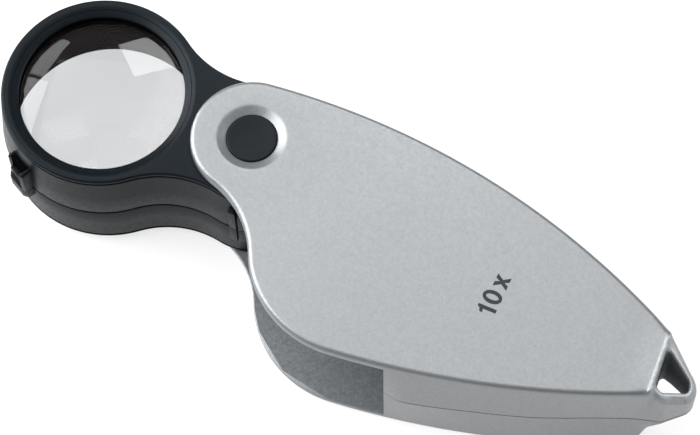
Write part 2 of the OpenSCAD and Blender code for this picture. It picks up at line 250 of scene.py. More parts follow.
class Mesh:
    """Faces gathered patch by patch. Patches share their edges' points, which are merged at the end."""

    def __init__(self):
        self.v, self.f = [], []

    def add(self, points):
        start = len(self.v)
        self.v.extend([tuple(float(x) for x in p) for p in points])
        return start

    def strips(self, rows, closed=True):
        for a, b in zip(rows, rows[1:]):
            self.strip(a, b, closed)

    def strip(self, a, b, closed=True):
        """Quads between two rows with as many points each."""
        n = len(a)
        i, j = self.add(a), self.add(b)
        for k in range(n if closed else n - 1):
            m = (k + 1) % n
            self.f.append((i + k, i + m, j + m, j + k))

    def lathe(self, c, profile, n):
        """Walls between circles given as (radius, height) round c. A radius of 0 is a point."""
        for (r0, z0), (r1, z1) in zip(profile, profile[1:]):
            if min(r0, r1) == 0:
                ring = circle(c, max(r0, r1), n)
                i = self.add(np.c_[ring, np.full(n, z0 if r1 == 0 else z1)])
                tip = self.add([(c[0], c[1], z1 if r1 == 0 else z0)])
                self.f.extend([(i + k, i + (k + 1) % n, tip) for k in range(n)])
                continue
            a, b = circle(c, r0, n), circle(c, r1, n)
            self.strip(np.c_[a, np.full(n, z0)], np.c_[b, np.full(n, z1)])

    def patch(self, loops, free, height):
        """Triangles over the plan region inside the first loop and outside the others."""
        pts, edges = [], []
        for loop in loops:
            s = len(pts)
            pts.extend([tuple(p) for p in loop])
            edges.extend([(s + k, s + (k + 1) % len(loop)) for k in range(len(loop))])
        pts.extend([tuple(p) for p in free])
        out = delaunay_2d_cdt([Vector(p) for p in pts], edges, [], 0, 1e-6)
        xy = np.array([tuple(v) for v in out[0]])
        tri = np.array([f for f in out[2] if len(f) == 3])
        mid = xy[tri].mean(1)
        keep = inside(mid, np.asarray(loops[0]))
        for hole in loops[1:]:
            keep &= ~inside(mid, np.asarray(hole))
        tri = tri[keep]
        i = self.add(np.c_[xy, height(xy)])
        self.f.extend([tuple(int(i + k) for k in t) for t in tri])

    def level(self, loops, z):
        """Triangles at one height inside the first loop and outside the others."""
        self.patch(loops, [], lambda p: np.full(len(p), z))

    def make(self, name, mirror, turn=0.0, angle=24.0):
        """The object: turned about the pivot, mirrored below the seam, and with edges that are
        sharper than the angle, in degrees, left sharp."""
        bm = bmesh.new()
        flip = -1 if mirror else 1
        c, s = math.cos(turn), math.sin(turn)
        for x, y, z in self.v:
            bm.verts.new((pivot.x + (c * x - s * y) * MM, pivot.y + (s * x + c * y) * MM,
                          SEAM_Z + flip * z * MM))
        bm.verts.ensure_lookup_table()
        for f in self.f:
            bm.faces.new([bm.verts[k] for k in f])
        bmesh.ops.remove_doubles(bm, verts=bm.verts, dist=2e-6)
        bmesh.ops.delete(bm, geom=[v for v in bm.verts if not v.link_faces], context="VERTS")
        bmesh.ops.dissolve_degenerate(bm, edges=bm.edges, dist=1e-7)
        bmesh.ops.recalc_face_normals(bm, faces=bm.faces)
        me = bpy.data.meshes.new(name)
        bm.to_mesh(me)
        bm.free()
        me.polygons.foreach_set("use_smooth", [True] * len(me.polygons))
        me.set_sharp_from_angle(angle=math.radians(angle))
        ob = bpy.data.objects.new(name, me)
        bpy.context.scene.collection.objects.link(ob)
        return ob


# ---------------------------------------------------------------- lanyard eye
def eye_hole():
    """The hole's outline, a triangle with rounded corners, and its outward normals."""
    r = EYE_R - EYE_WALL
    o = Outline()
    o.arc(EYE_A, r, EYE_MEET, EYE_END, 18)
    o.arc((63.6, 1.45), 0.5, math.radians(80), math.radians(170), 8)
    o.arc((64.8, -2.4), 0.9, math.radians(190), math.radians(319), 16)
    p, _ = o.done()
    dense, spacing = [], 0.25
    for a, b in zip(p, np.roll(p, -1, 0)):
        k = max(1, int(np.hypot(*(b - a)) / spacing))
        dense.extend([a + (b - a) * i / k for i in range(k)])
    dense = np.array(dense)
    t = np.roll(dense, -1, 0) - np.roll(dense, 1, 0)
    n = np.c_[t[:, 1], -t[:, 0]]
    return dense, n / np.hypot(*n.T)[:, None]


HOLE_P, HOLE_N = eye_hole()
HOLE_EDGE_R = {True: 0.5, False: 0.3}                        # of the upper and the lower half
UPPER_FALL = 1.08
BEAD_H, BEAD_AT, BEAD_W, BEAD_TOP = 0.34, 0.1, 0.34, 0.25    # the bead along the ridge
LOWER_LEAN = 0.45
LOWER_X = [60.4, 61.0, 61.9, 62.9, 64.1, 65.5, 69.0]
LOWER_Z = [CASE_H, 9.2, 6.8, 3.4, 1.5, 0.8, 0.5]


def ramp_down(x, softness):
    """0 before x = 0 and x after it, with a soft bend between."""
    return 0.5 * (x + np.sqrt(x * x + softness))


def upper_slope(p):
    """Height of the upper half's face: flat up to the bead on the ridge, then falling."""
    past = past_ridge(p)
    bead = BEAD_H * np.exp(-((past - BEAD_AT) / BEAD_W) ** 2)
    return CASE_H - ramp_down(past * UPPER_FALL, 0.04) + bead


def lower_slope(p):
    """Height of the lower half's face, which falls away under the nose."""
    x = np.asarray(p)[..., 0] + LOWER_LEAN * np.asarray(p)[..., 1]
    return np.interp(x, LOWER_X, LOWER_Z)


def rim_radius(p):
    """The rim's radius, which grows from the plate to the eye."""
    return RIM_R + (EYE_RIM_R - RIM_R) * smooth(-3.0, 0.6, past_ridge(p))


def thinned(points, cell):
    """One point of each square cell, so that no two faces collapse onto each other."""
    _, kept = np.unique(np.round(points / cell), axis=0, return_index=True)
    return points[np.sort(kept)]


NET_CELL = 0.33
DISH_ROWS = (3.75, 4.0, 4.25, 4.45, 4.58, 4.66, 4.72, 4.78, 4.84, 4.92, 5.05, 5.3, 6.0)
EASE_PASSES = 70
SEAM_GAP = 0.15                                              # bevel at the wall's foot


def plate_points(upper, rim, hole_edge):
    """Points inside the plate's outline that carry its fillets, ridge, slope and dish."""
    free = []
    for a in FILLET:
        # points of a row that come nearer to another stretch of the outline are left out
        depth = rim * (1 - math.cos(a))
        ring = CASE_P - CASE_N * depth[:, None]
        free.append(ring[distance(ring, CASE_P) > depth * 0.97 - 1e-6])
    for a in FILLET[1:]:
        free.append(HOLE_P + HOLE_N * hole_edge * (1 - math.cos(a)))
    if upper:
        for t in np.linspace(-0.5, 0.5, 9):
            along = np.linspace(0.02, 0.98, 40)[:, None]
            free.append(ridge_far + ridge_nrm * t + along * (ridge_near - ridge_far))
    # a fine net over the eye's slope, clear of the rows along the edges
    gx, gy = np.meshgrid(np.arange(60.5 if upper else SLOPE_FROM_X, NOSE_X, NET_CELL),
                         np.arange(-7.9, 7.9, NET_CELL))
    net = np.c_[gx.ravel(), gy.ravel()]
    net = net[inside(net, CASE_P)]
    clear = (distance(net, CASE_P) > 0.62) & ~inside(net, HOLE_P)
    net = net[clear & (distance(net, HOLE_P) > hole_edge + 0.05)]
    free.append(net[past_ridge(net) > 0.6] if upper else net)
    free.extend([circle((0, 0), r, 120) for r in DISH_ROWS])
    free = thinned(np.concatenate(free), 0.03)
    return free[inside(free, CASE_P)]


def wall_shape(top):
    """How far the wall stands out from the outline at its foot and in the middle, the middle's
    height, and the outline eased where the open side passes into the eye."""
    n = len(CASE_P)
    swell = CASE_SWELL + (EYE_SWELL - CASE_SWELL) * smooth(-4.0, 1.5, past_ridge(CASE_P))
    # the open side's wall turns from leaning out at the slot to leaning in at the eye
    near_side = np.abs(np.hypot(*(CASE_P - near_c).T) - NEAR_R) < 1e-6
    lean = np.interp(CASE_P[:, 0], LEAN_X, LEAN_OFF)
    # where the wall is low it stands out less
    swell = np.where(near_side, lean, np.minimum(swell, 0.4 * top + 0.05))
    eased = CASE_P.copy()
    corner = int(np.argmin(np.hypot(*(CASE_P - ridge_near).T)))
    zone = [(corner + k) % n for k in range(-9, 11)]
    before, after = [i - 1 for i in zone], [(i + 1) % n for i in zone]
    for _ in range(EASE_PASSES):
        for values in (eased, swell):
            values[zone] = 0.5 * values[zone] + 0.25 * (values[before] + values[after])
    # the wall's end at the slot grows out of the plate as a bevel
    ramp = (CASE_P[:, 0] - SLOT_END_X) / BEVEL_L
    on_ramp = (CASE_P[:, 1] < -10) & (ramp >= -1e-6) & (ramp < 1)
    least, no_limit = 0.03, 9.0
    cut = np.where(on_ramp, least + (CASE_SWELL - least) * np.clip(ramp, 0, 1), no_limit)
    low_off = np.minimum(swell, cut)
    mid_z = np.where(on_ramp, top * (1 - low_off / CASE_SWELL), top * 0.45)
    mid_z = np.maximum(mid_z, 0.2)
    mid_off = np.minimum(swell * (1 - mid_z / top), cut)
    return low_off, mid_off, mid_z, eased


def hollow_outline(upper):
    """The walls' inner outline, from the slot's end round the hollow's nose end and back."""
    o = Outline()
    inner_near, inner_far = NEAR_R - WALL_T, FAR_R - WALL_T
    # the x at which the near wall's inner face is SLOT_R from the pivot
    xs = SLOT_END_X
    for _ in range(30):
        p = near_c + inner_near * unit(-math.acos((xs - near_c[0]) / inner_near))
        xs += (SLOT_R - np.hypot(*p)) * 0.8
    # how far before the ridge the hollow ends: earlier in the lower half, whose slope is deeper
    near_stop, far_stop = (1.4, 1.4) if upper else (2.2, 3.8)
    o.arc(near_c, inner_near, -math.acos((xs - near_c[0]) / inner_near),
          near_at(RIDGE_NEAR_X - near_stop), 30)
    o.arc(far_c, inner_far, far_at(RIDGE_FAR_X - far_stop),
          math.acos((FAR_WALL_X - far_c[0]) / inner_far), 50)
    return o.done()[0]


def build_case(upper):
    slope = upper_slope if upper else lower_slope
    hole_edge = HOLE_EDGE_R[upper]
    m = Mesh()
    n = len(CASE_P)
    rim = rim_radius(CASE_P)
    if not upper:
        crest = np.minimum(CASE_H + BEAD_TOP, slope(CASE_P))
        rim = np.minimum(rim, np.maximum(0.12, 0.45 * crest))

    def height(p):
        d = distance(p, CASE_P)
        apart = p[:, None] - CASE_P[None]
        near = np.argmin(np.hypot(apart[..., 0], apart[..., 1]), 1)
        z = np.minimum(CASE_H + BEAD_TOP, slope(p)) - fillet_drop(d, rim[near])
        z = z - np.where(past_ridge(p) > -1.0, fillet_drop(distance(p, HOLE_P), hole_edge), 0)
        q = np.hypot(*p.T)
        dish = (DISH_R + 0.18 - q) * DISH_H / (DISH_R - CAP_POCKET_R)
        return z - ramp_down(dish, 0.012) * (q < 6.5)

    loops = [CASE_P, HOLE_P, circle((0, 0), CAP_POCKET_R, 120)]
    if not upper:
        loops += [circle(s, SCREW_HEAD_R, 40) for s in SCREWS]
    m.patch(loops, plate_points(upper, rim, hole_edge), height)

    # the wall runs from the slot's end to the round end, and the plate's edge is bare on the rest
    slot_pt = near_c + NEAR_R * unit(near_at(SLOT_END_X))
    far_pt = far_c + FAR_R * unit(far_at(FAR_WALL_X))
    i0 = int(np.argmin(np.hypot(*(CASE_P - slot_pt).T)))
    i1 = int(np.argmin(np.hypot(*(CASE_P - far_pt).T)))
    run = [(i0 + k) % n for k in range((i1 - i0) % n + 1)]
    rest = [(i1 + k) % n for k in range((i0 - i1) % n + 1)]
    top = height(CASE_P)
    low_off, mid_off, mid_z, eased = wall_shape(top)

    def row(idx, off, z, plan=CASE_P):
        idx = np.array(idx)
        off = np.broadcast_to(off, (n,))[idx]
        z = np.broadcast_to(z, (n,))[idx]
        return np.c_[plan[idx] + CASE_N[idx] * off[:, None], z]

    # from the rim down: its edge, just under it, the middle, the bevel at the seam, and the seam
    rows = [row(run, 0, top),
            row(run, 0.12 * mid_off, 0.1 * mid_z + 0.9 * top, 0.7 * CASE_P + 0.3 * eased),
            row(run, mid_off, mid_z, eased), row(run, low_off * (1 - SEAM_GAP / top), SEAM_GAP, eased),
            row(run, low_off - 0.3, 0.0, eased)]
    m.strips(rows, closed=False)
    # the bare edge, with a small round under it
    edge = [row(rest, 0, top), row(rest, 0.02, PLATE_Z + 0.10), row(rest, -0.03, PLATE_Z + 0.03),
            row(rest, -0.1, PLATE_Z)]
    m.strips(edge, closed=False)
    inner = hollow_outline(upper)
    k = len(inner)
    m.strip(np.c_[inner, np.full(k, PLATE_Z)], np.c_[inner, np.zeros(k)], closed=False)

    # flat ends of the walls, where the open side and the round end begin
    for p, wall_end, edge_end in ((inner[0], 0, -1), (inner[-1], -1, 0)):
        outer = [r[wall_end] for r in reversed(rows)]
        under = [r[edge_end] for r in edge[1:]]
        pts = [(p[0], p[1], PLATE_Z), (p[0], p[1], 0.0)] + outer + under
        i = m.add(pts)
        m.f.append(tuple(range(i, i + len(pts))))

    # underside of the plate, then the seam face of the walls and the nose
    under_loop = np.concatenate([inner, edge[-1][:, :2]])
    bosses = [circle((0, 0), BOSS_R, 96)] + [circle(s, SCREW_BOSS_R, 40) for s in SCREWS]
    m.level([under_loop] + bosses, PLATE_Z)
    seam_loop = np.concatenate([rows[-1][:, :2], inner[::-1]])
    m.level([seam_loop, HOLE_P], 0.0)
    m.strip(np.c_[HOLE_P, height(HOLE_P)], np.c_[HOLE_P, np.zeros(len(HOLE_P))])

    # pivot boss and screw bosses
    pocket_top = float(height(np.array([[CAP_POCKET_R, 0.0]]))[0])
    m.lathe((0, 0), [(CAP_POCKET_R, pocket_top), (CAP_POCKET_R, POCKET_FLOOR_H)], 120)
    m.level([circle((0, 0), CAP_POCKET_R, 120), circle((0, 0), BOSS_BORE_R, 96)], POCKET_FLOOR_H)
    m.lathe((0, 0), [(BOSS_BORE_R, POCKET_FLOOR_H), (BOSS_BORE_R, BOSS_H), (BOSS_R, BOSS_H),
                     (BOSS_R, PLATE_Z)], 96)
    for s in SCREWS:
        if upper:
            profile = [(SCREW_BOSS_R, PLATE_Z), (SCREW_BOSS_R, 0), (SCREW_THREAD_R, 0),
                       (SCREW_THREAD_R, SCREW_THREAD_H), (0, SCREW_THREAD_H)]
        else:
            profile = [(SCREW_HEAD_R, CASE_H), (SCREW_HEAD_R, SCREW_HEAD_FLOOR_H),
                       (SCREW_HOLE_R, SCREW_HEAD_FLOOR_H), (SCREW_HOLE_R, 0), (SCREW_BOSS_R, 0),
                       (SCREW_BOSS_R, PLATE_Z)]
        m.lathe(s, profile, 40)
    return m.make("case_upper_shell" if upper else "case_lower_shell", not upper)


case_upper = build_case(True)
case_lower = build_case(False)
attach(case_upper, "case")
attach(case_lower, "case")
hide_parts("upper_shell")
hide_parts("lower_shell")


# ---------------------------------------------------------------- lens head
LENS_C = np.array([REACH, 0.0])
neck_c = touching_centre(HUB_R, RING_R, REACH, NECK_R, 0)
neck_to_hub, neck_to_ring = heading(neck_c, (0, 0)), heading(neck_c, LENS_C)


def head_outline():
    o = Outline()
    o.arc(LENS_C, RING_R, neck_to_ring - math.pi, math.pi - neck_to_ring, 110)
    o.arc((neck_c[0], -neck_c[1]), NECK_R, -neck_to_ring, -neck_to_hub, 18, inward=True)
    o.arc((0, 0), HUB_R, math.pi - neck_to_hub, math.pi + neck_to_hub, 48)
    o.arc(neck_c, NECK_R, neck_to_hub, neck_to_ring, 18, inward=True)
    return o.done()


HEAD_P, HEAD_N = head_outline()
HEAD_EDGE_R = 0.38
FOOT_SWELL = {True: 0.0, False: 0.6}      # the lower half hardly narrows towards its face
# the cone down to the lens ring, the ring's seat and the barrel under it
RIM_IN_R, CONE_SLOPE, SEAT_R, RING_H, BARREL_R = 12.9, 0.467, 12.4, 7.05, 11.9
CONE_ROWS = (12.55, 12.7, 12.8, 12.87, 12.93, 13.0, 13.1, 13.25)
# the hub's well, with the stop key's groove in the upper half, and the bush's bore
WELL_R, WELL_FLOOR_H, GROOVE_R = 5.3, 6.1, 6.5
GROOVE_FROM, GROOVE_TO = math.radians(65), math.radians(241)
BUSH_FLANGE_R, BUSH_FLANGE_H, BUSH_R = 4.9, 5.5, 4.22
HEAD_SCREWS = [(7.0, 4.4), (7.0, -4.4)]
HEAD_THREAD_R, HEAD_THREAD_H = 0.83, 5.0
HEAD_SCREW_R, HEAD_SCREW_FLOOR_H, HEAD_HOLE_R = 1.6, 7.4, 0.9
SHADOW_H, SHADOW_D = 0.34, 0.3            # the groove under the cover's edge


def well_outline(upper):
    o = Outline()
    if upper:
        o.arc((0, 0), GROOVE_R, GROOVE_FROM, GROOVE_TO, 60)
        o.arc((0, 0), WELL_R, GROOVE_TO, GROOVE_FROM + 2 * math.pi, 60)
    else:
        o.arc((0, 0), WELL_R, 0, 2 * math.pi, 120)
    return o.done()[0]


def build_head(upper):
    m = Mesh()
    n = len(HEAD_P)
    foot = FOOT_SWELL[upper]
    edge = HEAD_P + HEAD_N * foot

    def height(p):
        z = HEAD_H - fillet_drop(distance(p, edge), HEAD_EDGE_R)
        return z - ramp_down((RIM_IN_R - np.hypot(*(p - LENS_C).T)) * CONE_SLOPE, 0.003)

    free = [edge - HEAD_N * HEAD_EDGE_R * (1 - math.cos(a)) for a in FILLET]
    free += [circle(LENS_C, r, 150) for r in CONE_ROWS]
    seat = circle(LENS_C, SEAT_R, 150)
    well = well_outline(upper)
    loops = [edge, seat, well]
    if not upper:
        loops += [circle(s, HEAD_SCREW_R, 32) for s in HEAD_SCREWS]
    m.patch(loops, np.concatenate(free), height)

    # side wall: the flat cover's edge, a shadow groove under it, then the wall swelling to the
    # seam, where a narrow step marks the joint
    top = HEAD_H - HEAD_EDGE_R
    lip = top - 0.12
    under = lip - SHADOW_H

    def swell(z):
        return HEAD_SWELL - (HEAD_SWELL - foot) * z / top

    wall = [(foot, top), (foot, lip), (foot - SHADOW_D, lip - 0.03), (foot - SHADOW_D, under),
            (swell(under) - 0.12, under - 0.02), (swell(under - 0.1), under - 0.12),
            (swell(4.0), 4.0), (swell(0.3), 0.3), (swell(0.2) - 0.03, 0.22), (swell(0.2) - 0.1, 0.19),
            (swell(0.0) - 0.42, 0.17), (swell(0.0) - 0.45, 0.0)]
    rows = [np.c_[HEAD_P + HEAD_N * off, np.full(n, z)] for off, z in wall]
    m.strips(rows)

    screw_r = HEAD_THREAD_R if upper else HEAD_HOLE_R
    m.level([rows[-1][:, :2], circle(LENS_C, BARREL_R, 150), circle((0, 0), BUSH_R, 96)]
            + [circle(s, screw_r, 32) for s in HEAD_SCREWS], 0.0)
    seat_z = float(height(seat[:1])[0])
    m.lathe(LENS_C, [(SEAT_R, seat_z), (SEAT_R, RING_H), (BARREL_R, RING_H), (BARREL_R, 0)], 150)
    m.strip(np.c_[well, np.full(len(well), HEAD_H)], np.c_[well, np.full(len(well), WELL_FLOOR_H)])
    m.level([well, circle((0, 0), BUSH_FLANGE_R, 96)], WELL_FLOOR_H)
    m.lathe((0, 0), [(BUSH_FLANGE_R, WELL_FLOOR_H), (BUSH_FLANGE_R, BUSH_FLANGE_H),
                     (BUSH_R, BUSH_FLANGE_H), (BUSH_R, 0)], 96)
    for s in HEAD_SCREWS:
        if upper:
            m.lathe(s, [(HEAD_THREAD_R, 0), (HEAD_THREAD_R, HEAD_THREAD_H), (0, HEAD_THREAD_H)], 32)
        else:
            m.lathe(s, [(HEAD_SCREW_R, HEAD_H), (HEAD_SCREW_R, HEAD_SCREW_FLOOR_H),
                        (HEAD_HOLE_R, HEAD_SCREW_FLOOR_H), (HEAD_HOLE_R, 0)], 32)
    name = "head_upper_shell_piece" if upper else "head_lower_shell_piece"
    return m.make(name, not upper, turn=head_angle)


head_upper = build_head(True)
head_lower = build_head(False)
for piece, node in ((head_upper, "head_upper_shell"), (head_lower, "head_lower_shell")):
    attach(piece, "head")
    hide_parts(node)


# ---------------------------------------------------------------- lenses, rings and spacer
LENS_R, LENS_EDGE_T, OUT_CURVE_R, IN_CURVE_R = 11.8, 1.8, 60.0, 100.0
LENS_RIM_H = RING_H - 0.12
APERTURE_R, LENS_RING_R = 11.4, 12.35
TUBE_R, TUBE_BORE_R, RIB_H, RIB_STEPS = 11.8, 11.3, 0.12, 16


def sag(curve_r, r):
    """How far a sphere falls away from its top at distance r from its axis."""
    return curve_r - math.sqrt(curve_r * curve_r - r * r)


def build_lens(name, upper):
    m = Mesh()
    count = 44
    steps = [LENS_R * k / count for k in range(count + 1)]
    out_tip = LENS_RIM_H + sag(OUT_CURVE_R, LENS_R)
    in_tip = LENS_RIM_H - LENS_EDGE_T - sag(IN_CURVE_R, LENS_R)
    profile = [(r, out_tip - sag(OUT_CURVE_R, r)) for r in steps]
    profile += [(r, in_tip + sag(IN_CURVE_R, r)) for r in reversed(steps)]
    m.lathe(LENS_C, profile, 150)
    return m.make(name, not upper, turn=head_angle)


def cone_height(r):
    return HEAD_H - (RIM_IN_R - r) * CONE_SLOPE


def build_lens_ring(name, upper):
    m = Mesh()
    inset = LENS_RING_R - 0.02
    top = [(LENS_RING_R, cone_height(LENS_RING_R) - 0.02), (inset, cone_height(inset))]
    # the edge of the clear opening, rounded
    lip = [(APERTURE_R + r, cone_height(APERTURE_R + r) - drop)
           for r, drop in ((0.3, 0.0), (0.18, 0.01), (0.09, 0.04), (0.03, 0.1), (0.0, 0.2))]
    profile = [(APERTURE_R, RING_H), (LENS_RING_R, RING_H)] + top + lip + [(APERTURE_R, RING_H)]
    m.lathe(LENS_C, profile, 150)
    return m.make(name, not upper, turn=head_angle)


def build_spacer():
    m = Mesh()
    half = LENS_RIM_H - LENS_EDGE_T - 0.2
    ribs = [(TUBE_BORE_R + (RIB_H if k % 2 else 0.0), -half + 2 * half * k / RIB_STEPS)
            for k in range(RIB_STEPS + 1)]
    m.lathe(LENS_C, [(TUBE_R, -half)] + ribs + [(TUBE_R, half), (TUBE_R, -half)], 150)
    return m.make("spacer_tube", False, turn=head_angle, angle=70)


# ---------------------------------------------------------------- pivot caps
def build_cap(name, upper):
    m = Mesh()
    cap_r, stem_r, edge_r, dish_r, dish_h = 3.5, 2.75, 0.22, 24.0, 0.2
    face = CASE_H - 0.45
    foot, shelf = 7.6, 8.9
    dish = [(r, min(face, face - dish_h + sag(dish_r, r))) for r in np.linspace(0, 3.1, 16)]
    rim = [(cap_r - edge_r * (1 - math.sin(a)), face - edge_r * (1 - math.cos(a)))
           for a in np.linspace(0, math.pi / 2, 7)]
    profile = dish + rim + [(cap_r, foot), (stem_r, foot), (stem_r, shelf), (0, shelf)]
    m.lathe((0, 0), profile, 120)
    return m.make(name, not upper)


# ---------------------------------------------------------------- lugs on the head
def rounded(corners, r, steps=5):
    """A convex polygon, counter-clockwise, with every corner an arc of radius r."""
    c = np.array(corners, float)
    o = Outline()
    for i in range(len(c)):
        a, b, d = c[i - 1], c[i], c[(i + 1) % len(c)]
        u, v = (b - a) / np.hypot(*(b - a)), (d - b) / np.hypot(*(d - b))
        turn = math.acos(np.clip(u @ v, -1, 1))
        centre = b - u * r * math.tan(turn / 2) + r * np.array([-u[1], u[0]])
        start = math.atan2(-u[0], u[1])
        o.arc(centre, r, start, start + turn, steps)
    return o.done()


def prism(m, corners, z0, z1, corner_r=0.3, edges=(0.2, 0.2)):
    """Upright block with rounded upright corners, and fillets of the two radii below and above."""
    p, nrm = rounded(corners, corner_r)
    low, high = edges
    rows = [np.c_[p - nrm * low * (1 - math.sin(a)), np.full(len(p), z0 + low * (1 - math.cos(a)))]
            for a in np.linspace(0, math.pi / 2, 6)]
    rows += [np.c_[p - nrm * high * (1 - math.sin(a)), np.full(len(p), z1 - high * (1 - math.cos(a)))]
             for a in np.linspace(math.pi / 2, 0, 6)]
    m.strips(rows)
    for row in (rows[0], rows[-1]):
        m.level([row[:, :2]], row[0, 2])


# directions from the lens axis and from the pivot, and how far out the lugs reach
CATCH_DIR, CATCH_R = math.radians(59.5), 15.85
NUB_DIR, NUB_R = math.radians(97.0), 9.72
CATCH_ROOT_R, LUG_Z, LUG_FOOT_R = 13.2, 0.06, 0.06


def at_ring(u, v):
    """A point u out from the lens axis and v to the left of the catch's direction."""
    return LENS_C + u * unit(CATCH_DIR) + v * unit(CATCH_DIR + math.pi / 2)


def at_hub(u, v):
    """A point u out from the pivot and v to the left of the nub's direction."""
    return u * unit(NUB_DIR) + v * unit(NUB_DIR + math.pi / 2)


def build_catch(upper):
    m = Mesh()
    root = CATCH_ROOT_R
    if upper:
        # two fins with a low shelf between them
        for v0, v1, u1, z1 in ((1.3, 2.05, CATCH_R, 5.1), (-2.1, -1.5, CATCH_R - 0.7, 4.9)):
            prism(m, [at_ring(root, v0), at_ring(u1, v0), at_ring(u1 - 0.25, v1), at_ring(root, v1)],
                  LUG_Z, z1, 0.15, (LUG_FOOT_R, 0.45))
        prism(m, [at_ring(root, -1.7), at_ring(CATCH_R - 0.5, -1.7), at_ring(CATCH_R - 0.35, 1.5),
                  at_ring(root, 1.5)], LUG_Z, 1.75, 0.15, (LUG_FOOT_R, 0.2))
    else:
        prism(m, [at_ring(root, -2.1), at_ring(CATCH_R - 0.6, -2.0), at_ring(CATCH_R, -1.3),
                  at_ring(CATCH_R, 1.2), at_ring(CATCH_R - 0.5, 2.0), at_ring(root, 2.05)],
              LUG_Z, 3.4, 0.4, (0.08, 1.1))
    return m.make("head_upper_catch" if upper else "head_lower_catch", not upper, turn=head_angle)


# a plate in the catch's hollow, coloured near-black as painted shade for the hollow's shadow
def build_catch_painted_shade_plate():
    m = Mesh()
    prism(m, [at_ring(13.3, -1.6), at_ring(14.75, -1.6), at_ring(14.75, 1.4), at_ring(13.3, 1.4)],
          1.5, 5.0, 0.1, (0.1, 0.3))
    return m.make("head_catch_painted_shade_plate", False, turn=head_angle)


def build_nub(upper):
    m = Mesh()
    top = 5.6 if upper else 4.4
    inner = HUB_R - 0.6
    for v0, v1, u0, u1 in ((-1.25, -0.12, NUB_R - 0.25, NUB_R), (0.12, 1.25, NUB_R, NUB_R - 0.1)):
        prism(m, [at_hub(inner, v0), at_hub(u0, v0), at_hub(u1, v1), at_hub(inner, v1)],
              0.05, top if v0 < 0 else top - 0.5, 0.12, (0.05, 0.35))
    return m.make("head_upper_nub" if upper else "head_lower_nub", not upper, turn=head_angle)


# ---------------------------------------------------------------- the lens power, printed on the plate
MARK_AT, MARK_DIR = np.array([41.25, -5.95]), math.radians(96.5)
MARK_Z = (CASE_H - 0.01, CASE_H + 0.02)


def ellipse(cx, cy, rx, ry, n=48):
    a = np.arange(n) * 2 * math.pi / n
    return np.c_[cx + rx * np.cos(a), cy + ry * np.sin(a)]


def build_mark():
    m = Mesh()
    one = np.array([(0.5, 0), (1.03, 0), (1.03, 2.62), (0.66, 2.62), (0.52, 2.3), (0, 2.12), (0, 1.72),
                    (0.5, 1.8)])
    zero = (ellipse(2.52, 1.3, 0.95, 1.36), ellipse(2.52, 1.3, 0.4, 0.88))
    w, h, t, waist = 1.9, 1.92, 0.66, 0.33
    cross = np.array([(0, 0), (t, 0), (w / 2, h * 0.32), (w - t, 0), (w, 0), (w / 2 + waist, h / 2),
                      (w, h), (w - t, h), (w / 2, h * 0.68), (t, h), (0, h),
                      (w / 2 - waist, h / 2)]) + (4.05, 0)
    u, v = unit(MARK_DIR), unit(MARK_DIR + math.pi / 2)
    for loops in ((one,), zero, (cross,)):
        placed = [MARK_AT + loop[:, :1] * u + loop[:, 1:] * v for loop in loops]
        for z in MARK_Z:
            m.level(placed, z)
        for loop in placed:
            m.strips([np.c_[loop, np.full(len(loop), z)] for z in MARK_Z])
    return m.make("power_mark", False)


upper_lens = build_lens("upper_lens_glass", True)
lower_lens = build_lens("lower_lens_glass", False)
upper_ring, lower_ring = build_lens_ring("upper_ring", True), build_lens_ring("lower_ring", False)
spacer = build_spacer()
upper_cap, lower_cap = build_cap("upper_cap", True), build_cap("lower_cap", False)
upper_catch, lower_catch = build_catch(True), build_catch(False)
catch_painted_shade_plate = build_catch_painted_shade_plate()
upper_nub, lower_nub = build_nub(True), build_nub(False)
mark = build_mark()
for piece, node in ((upper_lens, "upper_lens"), (lower_lens, "lower_lens"),
                    (upper_ring, "upper_lens_ring"), (lower_ring, "lower_lens_ring"),
                    (spacer, "lens_spacer"), (upper_catch, "head_upper_shell"),
                    (catch_painted_shade_plate, "head_upper_shell"), (upper_nub, "head_upper_shell"),
                    (lower_catch, "head_lower_shell"), (lower_nub, "head_lower_shell")):
    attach(piece, "head")
    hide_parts(node)
for piece, node in ((upper_cap, "upper_pivot_cap"), (lower_cap, "lower_pivot_cap")):
    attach(piece, "case")
    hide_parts(node)
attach(mark, "case")


# ---------------------------------------------------------------- materials
NOISE_LOW, NOISE_HIGH = 0.3, 0.7


